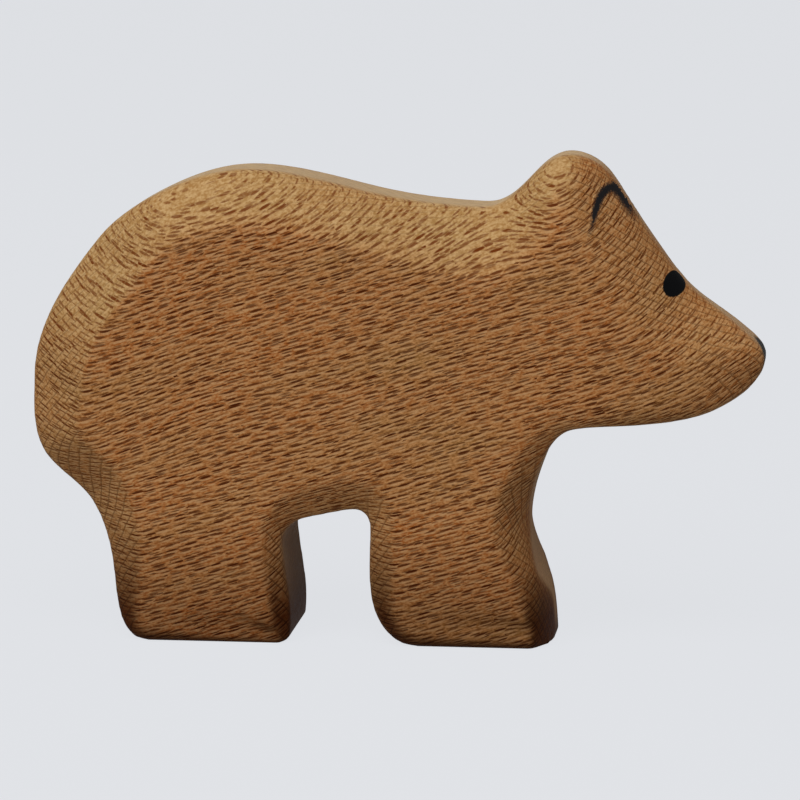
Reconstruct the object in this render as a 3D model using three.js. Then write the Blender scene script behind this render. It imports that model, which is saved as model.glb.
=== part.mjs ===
// A standing bear sawn from one beech board and carved round at its edges.
// Its eyes, the lines in its ears and its nose are painted on.
// Millimetres, +Z up, +X towards the nose, origin on the floor under the middle of the figure.
import * as THREE from "three";

// The board
const boardThickness = 26;
const snoutTaperRun = 28;
const snoutTaperDepth = 5.5;

// Lengths from rump to nose
const rumpOverhang = 14.1;
const hindLegWidth = 29.2;
const archWidth = 13;
const frontLegWidth = 30.05;
const headOverhang = 33.65;

// Feet
const heelRise = 9.2;
const hindHeelRun = 5.4;
const frontHeelRun = 7.6;
const hindToeRun = 1.6;
const hindToeRise = 1.3;
const frontToeRun = 0.7;
const frontToeRise = 0.7;
const pawHeight = 7;
const pawInset = 0.55;

// Arch under the belly
const archHeight = 22.1;
const bellySlope = 1.5;
const archFrontCorner = 2.6;
const archRearCorner = 4.2;
const hindShinLean = 1.3;

// Chest, chin and snout
const wristHeight = 12;
const wristInset = 2.65;
const chestHollowHeight = 19.8;
const chestHollowDepth = 4.4;
const throatDrop = 8.3;
const throatInset = 2.85;
const chinHeight = 36.3;
const chinRun = 3.95;
const jawRun = 8;
const jawRise = 2.8;
const noseRise = 11;
const lipDrop = 4;
const lipInset = 1.6;
const noseCrownRise = 3.4;
const noseCrownInset = 2.3;
const bridgeRun = 10;
const bridgeRise = 9.4;
const browRun = 15;
const browRise = 14.4;

// Ear, neck and back
const saddleHeight = 71.4;
const earRise = 8.6;
const earSetback = 32;
const earRearRun = 6.8;
const earFrontRun = 7.6;
const earShoulder = 4.5;
const neckRun = 13.7;
const backRise = 5.7;
const backTopRun = 36;
const withersRun = 55;
const withersDrop = 3.3;
const croupRun = 20.2;
const croupDrop = 4.6;
const haunchRun = 11;
const haunchDrop = 11.7;
const rumpHeight = 42;
const tailInset = 2.3;
const tailDrop = 12.4;
const thighSetback = 4.7;
const thighHeight = 22.8;

// Deep carved edges: width in the side view, thickness left at the rim,
// and roundness from 0, a flat cut, to 1, a quarter round
const toeTipEdge = { width: 3, rim: 15, round: 0.6 };
const toeEdge = { width: 3, rim: 4, round: 0.6 };
const wristEdge = { width: 3, rim: 17, round: 0.6 };
const chestEdge = { width: 5.5, rim: 3, round: 0.7 };
const throatEdge = { width: 4, rim: 17, round: 0.3 };
const jawEdge = { width: 3, rim: 17.5, round: 0.4 };
const snoutEdge = { width: 8.5, rim: 6.8, round: 0.5 };
const headEdge = { width: 10, rim: 2.8, round: 0.5 };
const earEdge = { width: 8, rim: 6.8, round: 0.6 };
const neckEdge = { width: 11, rim: 8.8, round: 0.3 };
const backEdge = { width: 8.5, rim: 9.6, round: 0.45 };
const rumpEdge = { width: 10, rim: 8, round: 0.1 };
const tailEdge = { width: 8, rim: 12, round: 0.1 };

// Shallow edges on belly and legs: the same, but with the depth that is cut from each side of the board
const soleEdge = shallowEdge({ width: 2, depth: 1.8, round: 0.6 });
const chinEdge = shallowEdge({ width: 3, depth: 1.2, round: 0.6 });
const heelEdge = shallowEdge({ width: 5, depth: 4, round: 0.2 });
const hindShinEdge = shallowEdge({ width: 3, depth: 3, round: 0.2 });
const frontShinEdge = shallowEdge({ width: 4.5, depth: 3.5, round: 0.2 });
const bellyEdge = shallowEdge({ width: 5.5, depth: 3.4, round: 0.2 });

// How gently an edge cut runs out into the flat side, as a share of its width
const arrisSoftness = 0.08;

// Sanding that rounds off the ridges of the head: how far it reaches, also as a share of the way to the rim,
// and how many places round a spot it levels
const headSanding = 2.6;
const rimSanding = 0.5;
const sandingPlaces = 8;

// Painted marks: a film that lies a little clear of the wood
const paintGap = 0.3;
const paintFilm = 0.3;
const markRimGap = 0.15;
const eyeLength = 4.2;
const eyeWidth = 3.2;
const eyeAhead = 1.8;
const noseWrap = 0.25;

// Ear line: a brush stroke through points given as way down the forehead from the ear and way in from its rim
const earLineWidth = 1.3;
const earLineEndWidth = 0.7;
const earLineRearFoot = new THREE.Vector2(3.6, 6.6);
const earLineRearBend = new THREE.Vector2(0.5, 3.1);
const earLineTop = new THREE.Vector2(0.4, 1.5);
const earLineFrontBend = new THREE.Vector2(2.3, 0.85);
const earLineFrontFoot = new THREE.Vector2(5.8, 0.7);

// Fineness: spacing and turn of the rim points, rings across an edge in edge widths, how near they come
// to the middle of a narrow part, the way in of the last ring, and steps across the paint
const rimStep = 2;
const rimTurn = THREE.MathUtils.degToRad(16);
const ringPlaces = [0, 0.02, 0.08, 0.24, 0.5, 0.76, 1, 1.3];
const edgeMidlineShare = 0.78;
const midlineShare = 0.9;
const fieldInset = 18;
const eyeSteps = 6;
const earLineSteps = 18;
const slopeProbe = 0.02;
const hairsBreadth = 1e-6;

// Stations along the figure, whose whole length counts the paint on the nose
const woodLength = rumpOverhang + hindLegWidth + archWidth + frontLegWidth + headOverhang;
const rumpX = -(woodLength + paintGap + paintFilm) / 2;
const hindRearX = rumpX + rumpOverhang;
const hindFrontX = hindRearX + hindLegWidth;
const archRearX = hindFrontX - hindShinLean;
const frontRearX = hindFrontX + archWidth;
const frontFrontX = frontRearX + frontLegWidth;
const noseX = frontFrontX + headOverhang;
const noseHeight = chinHeight + noseRise;
const earX = noseX - earSetback;
const earHeight = saddleHeight + earRise;
const backHeight = saddleHeight + backRise;
const bellyRearHeight = archHeight - bellySlope;

// Anchors of the side view, counter-clockwise from the hind sole:
// x, z, heading in degrees and the edge carved there
const anchors = Object.entries({
  hindSole: [hindRearX + hindHeelRun, 0, 0, soleEdge],
  hindSoleFront: [hindFrontX - hindToeRun, 0, 0, soleEdge],
  hindToe: [hindFrontX, hindToeRise, 84, hindShinEdge],
  hindShin: [archRearX, bellyRearHeight - archRearCorner, 94, hindShinEdge],
  bellyRear: [archRearX + archRearCorner, bellyRearHeight, 10, bellyEdge],
  bellyFront: [frontRearX - archFrontCorner, archHeight, 6, bellyEdge],
  frontShinTop: [frontRearX, archHeight - archFrontCorner, -90, frontShinEdge],
  frontShin: [frontRearX, heelRise, -86, frontShinEdge],
  frontSole: [frontRearX + frontHeelRun, 0, 0, soleEdge],
  frontSoleFront: [frontFrontX - toeTipEdge.width, 0, 0, soleEdge],
  frontToeTip: [frontFrontX - frontToeRun, 0, 0, toeTipEdge],
  frontToe: [frontFrontX, frontToeRise, 93, toeEdge],
  paw: [frontFrontX - pawInset, pawHeight, 99, toeEdge],
  wrist: [frontFrontX - wristInset, wristHeight, 110, wristEdge],
  chestHollow: [frontFrontX - chestHollowDepth, chestHollowHeight, 92, chestEdge],
  throat: [frontFrontX - throatInset, chinHeight - throatDrop, 70, throatEdge],
  chin: [frontFrontX + chinRun, chinHeight, 5, chinEdge],
  jaw: [noseX - jawRun, chinHeight + jawRise, 22, jawEdge],
  lip: [noseX - lipInset, noseHeight - lipDrop, 52, snoutEdge],
  noseTip: [noseX, noseHeight, 95, snoutEdge],
  noseCrown: [noseX - noseCrownInset, noseHeight + noseCrownRise, 138, snoutEdge],
  bridge: [noseX - bridgeRun, noseHeight + bridgeRise, 144, headEdge],
  brow: [noseX - browRun, noseHeight + browRise, 126, headEdge],
  earFront: [earX + earFrontRun, earHeight - earShoulder, 122, headEdge],
  earTop: [earX, earHeight, 180, earEdge],
  earRear: [earX - earRearRun, earHeight - earShoulder, 227, earEdge],
  saddle: [earX - neckRun, saddleHeight, 178, neckEdge],
  withers: [rumpX + withersRun, backHeight - withersDrop, 167, backEdge],
  backTop: [rumpX + backTopRun, backHeight, 180, backEdge],
  croup: [rumpX + croupRun, backHeight - croupDrop, 208, backEdge],
  haunch: [rumpX + haunchRun, backHeight - haunchDrop, 231, rumpEdge],
  rump: [rumpX, rumpHeight, 270, rumpEdge],
  tail: [rumpX + tailInset, rumpHeight - tailDrop, 307, tailEdge],
  thigh: [hindRearX - thighSetback, thighHeight, 308, tailEdge],
  hindHeel: [hindRearX, heelRise, 277, heelEdge],
}).map(([name, [x, z, heading, edge]]) => ({
  name,
  point: new THREE.Vector2(x, z),
  direction: new THREE.Vector2(1, 0).rotateAround(new THREE.Vector2(), THREE.MathUtils.degToRad(heading)),
  edge,
}));

// One curve from each anchor to the next, as near to a circular arc as its end headings allow
const stretches = anchors.map((from, index) => {
  const to = anchors[(index + 1) % anchors.length];
  const turn = from.direction.angleTo(to.direction);
  const handle = from.point.distanceTo(to.point) / (3 * Math.cos(turn / 4) ** 2);
  const curve = new THREE.CubicBezierCurve(
    from.point,
    from.point.clone().addScaledVector(from.direction, handle),
    to.point.clone().addScaledVector(to.direction, -handle),
    to.point,
  );
  return { name: from.name, curve, turn, from, to };
});

// The rim: points along the outline, each with its inward normal and the edge carved there
const rim = stretches.flatMap(({ name, curve, turn, from, to }) => {
  const isStraight = curve.getLength() - from.point.distanceTo(to.point) < hairsBreadth;
  const steps = isStraight ? 1 : Math.ceil(Math.max(curve.getLength() / rimStep, turn / rimTurn));
  return Array.from({ length: steps }, (_, step) => ({
    name,
    ...rimSpot(curve, step / steps),
    edge: blendEdges(from.edge, to.edge, step / steps),
  }));
});

function shallowEdge({ width, depth, round }) {
  return { width, rim: boardThickness - 2 * depth, round };
}

function blendEdges(first, second, share) {
  return {
    width: THREE.MathUtils.lerp(first.width, second.width, share),
    rim: THREE.MathUtils.lerp(first.rim, second.rim, share),
    round: THREE.MathUtils.lerp(first.round, second.round, share),
  };
}

function rimSpot(curve, share) {
  const tangent = curve.getTangentAt(share);
  return { point: curve.getPointAt(share), inward: new THREE.Vector2(-tangent.y, tangent.x) };
}

function stretchFrom(name) {
  return stretches.find((stretch) => stretch.name === name).curve;
}

function evenShares(steps) {
  return Array.from({ length: steps + 1 }, (_, step) => step / steps);
}

// Share of an edge's depth that is regained at a given share of its width
function carvedProfile(across, round) {
  const inside = THREE.MathUtils.clamp(across, 0, 1);
  const near = Math.max(arrisSoftness - Math.abs(across - 1), 0) / arrisSoftness;
  const flatCut = inside - (near ** 2 * arrisSoftness) / 4;
  const quarterRound = Math.sqrt(1 - (1 - inside) ** 2);
  return THREE.MathUtils.lerp(flatCut, quarterRound, round);
}

// Half of the board's thickness, which falls off towards the nose
function boardHalf(x) {
  const share = THREE.MathUtils.clamp(1 - (noseX - x) / snoutTaperRun, 0, 1);
  return boardThickness / 2 - snoutTaperDepth * share ** 2;
}

// Half of the thickness that the carving leaves at a point of the side view, and its way from the rim
function carvedSpot(point) {
  const along = new THREE.Vector2();
  const offset = new THREE.Vector2();
  const flatHalf = boardHalf(point.x);
  const carved = { half: flatHalf, inset: Infinity };
  rim.forEach((spot, index) => {
    const next = rim[(index + 1) % rim.length];
    along.subVectors(next.point, spot.point);
    offset.subVectors(point, spot.point);
    const share = THREE.MathUtils.clamp(offset.dot(along) / along.lengthSq(), 0, 1);
    const inset = offset.addScaledVector(along, -share).length();
    const edge = blendEdges(spot.edge, next.edge, share);
    const rimHalf = Math.min(edge.rim / 2, flatHalf);
    const half = THREE.MathUtils.lerp(rimHalf, flatHalf, carvedProfile(inset / edge.width, edge.round));
    carved.half = Math.min(carved.half, half);
    carved.inset = Math.min(carved.inset, inset);
  });
  return carved;
}

// The same thickness after sanding
function halfThickness(point) {
  const { half, inset } = carvedSpot(point);
  const onHead = THREE.MathUtils.smoothstep(point.x, earX - neckRun, earX);
  const reach = Math.min(headSanding * onHead, inset * rimSanding);
  if (reach < hairsBreadth) {
    return half;
  }
  const around = Array.from({ length: sandingPlaces }, (_, step) => {
    const turn = (2 * Math.PI * step) / sandingPlaces;
    const beside = new THREE.Vector2(Math.cos(turn), Math.sin(turn)).multiplyScalar(reach);
    return carvedSpot(beside.add(point)).half;
  });
  return around.reduce((sum, next) => sum + next, half) / (sandingPlaces + 1);
}

// Radius of the largest circle inside the outline that touches it at a rim point
function roomInside(spot) {
  const offset = new THREE.Vector2();
  const radii = rim.map((other) => {
    offset.subVectors(other.point, spot.point);
    const ahead = offset.dot(spot.inward);
    return ahead > hairsBreadth ? offset.lengthSq() / (2 * ahead) : Infinity;
  });
  return Math.min(...radii);
}

// A point of the carved surface and its normal, on the side of the board given as -1 or 1
function surfaceSpot(point, side) {
  const slopeAlong = (x, z) => {
    const probe = new THREE.Vector2(x, z).multiplyScalar(slopeProbe);
    const rise = halfThickness(point.clone().add(probe)) - halfThickness(point.clone().sub(probe));
    return rise / (2 * slopeProbe);
  };
  return {
    point: new THREE.Vector3(point.x, side * halfThickness(point), point.y),
    normal: new THREE.Vector3(-slopeAlong(1, 0), side, -slopeAlong(0, 1)).normalize(),
  };
}

function geometryOf(vertices, triangles) {
  const geometry = new THREE.BufferGeometry().setFromPoints(vertices);
  geometry.setIndex(triangles.flat());
  geometry.computeVertexNormals();
  return geometry;
}

// Turns the diagonal between two triangles where the other one joins nearer points,
// so that no edge runs along the middle of a narrow part
function turnDiagonals(points, corners) {
  const triangles = corners.map((corner) => [...corner]);
  const angleAt = (apex, a, b) => {
    const toFirst = points[a].clone().sub(points[apex]);
    const toSecond = points[b].clone().sub(points[apex]);
    return toFirst.angleTo(toSecond);
  };
  const turnOne = () => {
    const sides = new Map();
    for (const [index, triangle] of triangles.entries()) {
      for (let k = 0; k < 3; k++) {
        const [a, b, c] = [triangle[k], triangle[(k + 1) % 3], triangle[(k + 2) % 3]];
        const facing = sides.get(`${b},${a}`);
        if (facing && angleAt(c, a, b) + angleAt(facing.apex, a, b) > Math.PI + hairsBreadth) {
          triangles[index] = [facing.apex, b, c];
          triangles[facing.index] = [a, facing.apex, c];
          return true;
        }
        sides.set(`${a},${b}`, { index, apex: c });
      }
    }
    return false;
  };
  while (turnOne());
  return triangles;
}

// Wooden body: rings that run inwards from the rim on both sides, closed by a field inside the last ring
function bodyGeometry() {
  const ringCount = ringPlaces.length + 1;
  const insets = rim.map((spot) => {
    const room = roomInside(spot);
    const span = Math.min(spot.edge.width, (room * edgeMidlineShare) / Math.max(...ringPlaces));
    return [...ringPlaces.map((place) => place * span), Math.min(room * midlineShare, fieldInset)];
  });
  const rings = Array.from({ length: ringCount }, (_, k) =>
    rim.map((spot, i) => spot.point.clone().addScaledVector(spot.inward, insets[i][k])),
  );
  const nearSide = rings.flat().map((point) => new THREE.Vector3(point.x, -halfThickness(point), point.y));
  const farSide = nearSide.map(({ x, y, z }) => new THREE.Vector3(x, -y, z));
  const at = (far, k, i) => (far * ringCount + k) * rim.length + (i % rim.length);
  const triangles = [];
  const addBothSides = (a, b, c) => {
    triangles.push([at(0, ...a), at(0, ...b), at(0, ...c)]);
    triangles.push([at(1, ...c), at(1, ...b), at(1, ...a)]);
  };
  for (let i = 0; i < rim.length; i++) {
    triangles.push([at(0, 0, i), at(1, 0, i), at(1, 0, i + 1)]);
    triangles.push([at(0, 0, i), at(1, 0, i + 1), at(0, 0, i + 1)]);
    for (let k = 0; k + 1 < ringCount; k++) {
      addBothSides([k, i], [k, i + 1], [k + 1, i + 1]);
      addBothSides([k, i], [k + 1, i + 1], [k + 1, i]);
    }
  }
  const field = THREE.ShapeUtils.triangulateShape(rings[ringCount - 1], []);
  for (const corners of turnDiagonals(rings[ringCount - 1], field)) {
    addBothSides(...corners.map((i) => [ringCount - 1, i]));
  }
  return geometryOf([...nearSide, ...farSide], triangles);
}

// A closed film of paint over a grid of surface spots
function filmGeometry(grid) {
  const rowStep = new THREE.Vector3().subVectors(grid[1][0].point, grid[0][0].point);
  const columnStep = new THREE.Vector3().subVectors(grid[0][1].point, grid[0][0].point);
  const facesOut = rowStep.cross(columnStep).dot(grid[0][0].normal) > 0;
  const rows = facesOut ? grid : grid.map((row) => row.toReversed());
  const spots = rows.flat();
  const lifted = (lift) => spots.map(({ point, normal }) => point.clone().addScaledVector(normal, lift));
  const vertices = [...lifted(paintGap), ...lifted(paintGap + paintFilm)];
  const lastRow = rows.length - 1;
  const lastColumn = rows[0].length - 1;
  const at = (i, j) => i * (lastColumn + 1) + j;
  const triangles = [];
  const addQuad = (a, b, c, d) => triangles.push([a, b, c], [a, c, d]);
  const addWall = (a, b) => addQuad(a, b, b + spots.length, a + spots.length);
  for (let i = 0; i < lastRow; i++) {
    for (let j = 0; j < lastColumn; j++) {
      const corners = [at(i, j), at(i + 1, j), at(i + 1, j + 1), at(i, j + 1)];
      addQuad(...corners.map((k) => k + spots.length));
      addQuad(...corners.toReversed());
    }
    addWall(at(i, 0), at(i + 1, 0));
    addWall(at(i + 1, lastColumn), at(i, lastColumn));
  }
  for (let j = 0; j < lastColumn; j++) {
    addWall(at(lastRow, j), at(lastRow, j + 1));
    addWall(at(0, j + 1), at(0, j));
  }
  return geometryOf(vertices, triangles);
}

// Eye: an oval spot just behind the bridge of the snout, touching the brow's rim
function eyeGeometry(side) {
  const bridge = stretchFrom("bridge");
  const { point, inward } = rimSpot(bridge, 1 - eyeAhead / bridge.getLength());
  const along = new THREE.Vector2(inward.y, -inward.x);
  const centre = point.clone().addScaledVector(inward, markRimGap + eyeWidth / 2);
  const places = evenShares(eyeSteps).map((share) => 2 * share - 1);
  const grid = places.map((u) =>
    places.map((v) => {
      const spot = centre.clone();
      spot.addScaledVector(along, (u * Math.sqrt(1 - v ** 2 / 2) * eyeLength) / 2);
      spot.addScaledVector(inward, (v * Math.sqrt(1 - u ** 2 / 2) * eyeWidth) / 2);
      return surfaceSpot(spot, side);
    }),
  );
  return filmGeometry(grid);
}

// Ear line: an upturned U that narrows to its feet, one leg along the forehead's rim
function earLineGeometry(side) {
  const forehead = stretchFrom("brow");
  const stroke = new THREE.SplineCurve([
    earLineRearFoot,
    earLineRearBend,
    earLineTop,
    earLineFrontBend,
    earLineFrontFoot,
  ]);
  const grid = evenShares(earLineSteps).map((share) => {
    const middle = stroke.getPointAt(share);
    const tangent = stroke.getTangentAt(share);
    const width = THREE.MathUtils.lerp(earLineEndWidth, earLineWidth, Math.sin(Math.PI * share));
    return [-0.5, 0, 0.5].map((across) => {
      const down = middle.x - tangent.y * across * width;
      const inset = middle.y + tangent.x * across * width;
      const { point, inward } = rimSpot(forehead, 1 - Math.max(down, 0) / forehead.getLength());
      return surfaceSpot(point.addScaledVector(inward, Math.max(inset, markRimGap)), side);
    });
  });
  return filmGeometry(grid);
}

// Nose: paint over the snout's end from lip to crown, wrapped a little onto both sides
function noseGeometry() {
  const first = rim.findIndex((spot) => spot.name === "lip");
  const last = rim.findIndex((spot) => spot.name === "noseCrown");
  const grid = rim.slice(first, last + 1).map((spot, row) => {
    const wrap = markRimGap + noseWrap * Math.sin((Math.PI * row) / (last - first));
    const onSide = (side, inset) => surfaceSpot(spot.point.clone().addScaledVector(spot.inward, inset), side);
    const onRim = (side) => ({
      point: new THREE.Vector3(spot.point.x, (side * spot.edge.rim) / 2, spot.point.y),
      normal: new THREE.Vector3(-spot.inward.x, side, -spot.inward.y).normalize(),
    });
    return [
      onSide(-1, wrap),
      onSide(-1, wrap / 2),
      onRim(-1),
      onRim(0),
      onRim(1),
      onSide(1, wrap / 2),
      onSide(1, wrap),
    ];
  });
  return filmGeometry(grid);
}

function meshOf(name, geometry, color, roughness) {
  const mesh = new THREE.Mesh(geometry, new THREE.MeshStandardMaterial({ color, roughness, metalness: 0 }));
  mesh.name = name;
  return mesh;
}

const bear = new THREE.Group();
bear.add(meshOf("bear_body", bodyGeometry(), "#a67c4b", 0.6));
for (const [sideName, side] of [["right", -1], ["left", 1]]) {
  bear.add(meshOf(`${sideName}_eye`, eyeGeometry(side), "#0d0c0c", 0.7));
  bear.add(meshOf(`${sideName}_ear_line`, earLineGeometry(side), "#2e2a28", 0.8));
}
bear.add(meshOf("nose", noseGeometry(), "#26241f", 0.7));

export default bear;
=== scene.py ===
import math

import bmesh
import bpy
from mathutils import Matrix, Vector


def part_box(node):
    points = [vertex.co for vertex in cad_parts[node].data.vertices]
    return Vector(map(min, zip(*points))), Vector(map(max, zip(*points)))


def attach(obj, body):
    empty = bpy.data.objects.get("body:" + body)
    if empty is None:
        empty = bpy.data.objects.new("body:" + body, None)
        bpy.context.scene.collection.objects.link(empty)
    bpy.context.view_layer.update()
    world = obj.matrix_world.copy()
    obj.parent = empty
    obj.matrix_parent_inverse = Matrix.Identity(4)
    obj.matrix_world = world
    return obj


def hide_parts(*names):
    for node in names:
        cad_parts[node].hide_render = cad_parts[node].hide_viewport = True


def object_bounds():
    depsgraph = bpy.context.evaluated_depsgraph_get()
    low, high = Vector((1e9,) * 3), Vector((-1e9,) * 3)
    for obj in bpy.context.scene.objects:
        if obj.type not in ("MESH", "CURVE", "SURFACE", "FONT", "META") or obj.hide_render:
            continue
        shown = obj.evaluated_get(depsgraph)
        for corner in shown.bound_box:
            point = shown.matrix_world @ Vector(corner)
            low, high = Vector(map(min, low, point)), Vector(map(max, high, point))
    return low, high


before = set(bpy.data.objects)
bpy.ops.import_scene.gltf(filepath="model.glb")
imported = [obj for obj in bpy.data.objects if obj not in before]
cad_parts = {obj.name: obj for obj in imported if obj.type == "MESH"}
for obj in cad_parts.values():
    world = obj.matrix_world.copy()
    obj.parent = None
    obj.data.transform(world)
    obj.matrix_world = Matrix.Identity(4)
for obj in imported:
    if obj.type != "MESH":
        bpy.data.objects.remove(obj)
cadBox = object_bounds()
scene = bpy.context.scene
mm = 0.001  # the frame is in metres, sizes below are in millimetres
print("frame:", len(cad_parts), "nodes,", [round(side / mm, 1) for side in cadBox[1] - cadBox[0]], "mm")


def srgb(code):
    shares = [int(code[i:i + 2], 16) / 255 for i in (1, 3, 5)]
    return (*[c / 12.92 if c <= 0.04045 else ((c + 0.055) / 1.055) ** 2.4 for c in shares], 1)


def addNode(tree, kind, links=None, **settings):
    node = tree.nodes.new(kind)
    for name, value in settings.items():
        setattr(node, name, value)
    for socket, value in (links or {}).items():
        if isinstance(value, bpy.types.NodeSocket):
            tree.links.new(value, node.inputs[socket])
        else:
            node.inputs[socket].default_value = value
    return node


mixFirst, mixSecond, mixResult = 6, 7, 2  # the colour sockets of a Mix node
numberFirst, numberSecond = 2, 3  # and its sockets for plain numbers


# Sanded and oiled beech. Broad rays show as short brown dashes where they are cut across, and as small
# orange patches where they are cut along. Thin year lines cross them, and the oil gives a soft sheen.
beechLook = {
    "grainRise": 17,  # degrees, the grain climbs towards the nose
    "driftLength": 30,  # mm, how far apart the grain wanders
    "drift": 1.2,  # mm, how much it wanders
    # Where the rays dip more, in mm from none of it to all of it, and the height that they turn about
    "rumpTwist": {"x": (-28, -56), "z": (20, 36), "degrees": 10, "pivot": 48},
    # Rays run down and out towards the right side: degrees of dip, and mm along, across and deep
    "broadRays": {"dip": 30, "size": (2.7, 0.34, 8.0), "gap": (2.8, 0.88, 3.6), "seed": 0.0},
    "fineRays": {"dip": 27, "size": (2.2, 0.24, 6.0), "gap": (2.3, 0.71, 2.8), "seed": 17.3},
    "fineShare": 0.8,  # how dark fine rays are beside broad ones
    "rayScatter": 0.78,  # 0 would set the rays in rows
    "rayEdge": {"From Min": 1.12, "From Max": 0.62},  # in half sizes of a ray
    "rayDepth": {"To Min": 0.7, "To Max": 1.0},  # the faintest and the darkest ray
    "cutAcross": {"From Min": 0.15, "From Max": 0.45},  # how squarely the surface cuts a ray
    "alongShare": 0.9,  # how dark a ray is that lies in the surface
    "broadsideSlim": {"To Min": 1.4, "To Max": 1.0},  # times, how much thinner such a ray is drawn
    "rayBand": 2.0,  # mm from one break in such a ray to the next
    "bandStart": {"From Min": 0.05, "From Max": 0.35, "To Min": 0.27, "To Max": 0.08},  # sooner on end grain
    "bandFade": 0.1,  # share of a band
    "endGrainSlim": {"From Min": 0.2, "From Max": 0.6, "To Min": 1.0, "To Max": 1.35},  # times, on end grain
    "lipPlace": 1.9,  # half widths from the middle of a ray down to its pale lip
    "lipEdge": {"From Min": 1.25, "From Max": 0.5},
    "lipShare": 0.6,
    "ringWidth": 1.25,  # mm between year lines
    "ringStray": 0.5,  # years, how far a year line strays
    "ringEdge": {"From Min": 0.72, "From Max": 0.97},  # the part of a year that darkens
    "ringOnEnd": {"From Min": 0.15, "From Max": 0.6},  # year lines show on end grain
    "ringDepth": 0.58,
    "ringBreak": 0.5,  # how much of a ray a year line takes away
    # Unevenness, in mm along the grain, across it and along the rays. Pores are drawn several times as
    # coarse as they are, so that they show.
    "waver": {"size": (9, 3, 6), "seed": 5.0, "detail": 2.0, "roughness": 0.5},  # of the year lines
    "fibre": {"size": (2.2, 0.20, 0.9), "seed": 3.0, "detail": 3.0, "roughness": 0.6},  # pale streaks
    "pores": {"size": (0.5, 0.3, 0.5), "seed": 9.0, "detail": 1.0, "roughness": 0.5},
    "patch": {"size": (26, 7, 12), "seed": 1.0, "detail": 2.0, "roughness": 0.5},  # redder or greyer
    "streak": {"From Min": 0.82, "From Max": 1.24},
    "redder": {"From Min": 0.5, "From Max": 0.72},
    "greyer": {"From Min": 0.5, "From Max": 0.28},
    # Carved wood is paler where it is off the flat sides, faces up and doesn't face the nose: a little of
    # this is its own tone, the rest is painted light from above
    "offFlat": {"From Min": 0.98, "From Max": 0.80},
    "facesUp": {"From Min": 0.05, "From Max": 0.45, "To Min": 0.25, "To Max": 0.75},
    "facesBack": {"From Min": 0.45, "From Max": 0.1, "To Min": 0.2},
    "darkRays": {"From Max": 0.6, "To Min": 1.0, "To Max": 0.15},  # less dark where the carved wood is painted paler
    "rimPaleAndTopLit": {"From Min": 0.6, "From Max": 0.9, "To Min": 0.32, "To Max": 0.62},  # the rim's own paler tone, and more where it faces up, which is painted light from above
    "sheen": {"From Min": 0.7, "From Max": 1.3, "To Min": 0.58, "To Max": 0.74},
    "rayRelief": -0.8,  # rays lie a little lower
    "bump": {"Strength": 0.6, "Distance": 0.07 * mm},
    "oil": {"IOR": 1.5, "Specular IOR Level": 0.03},
    "wood": "#965a2b",
    "redWood": "#9a5522",
    "greyWood": "#8a6032",
    "lightWood": "#bb8755",
    "lip": "#c2996c",  # painted highlight beside a ray, where the wood would stand up and catch the light
    "rayCut": "#471a02",
    "rayBroadside": "#6e3208",
    "carvedAndLitWood": "#a8824e",  # on the carved back, neck and ear, paler mostly from painted light
    "carvedAndLitStreak": "#c7a775",
    "ringLine": "#4c2a10",
    "sawn": "#cdb48f",
    "handled": "#6c5546",  # painted shade multiplied into the feet and the edges of the legs, for the shade near the floor and under the body
}


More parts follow.
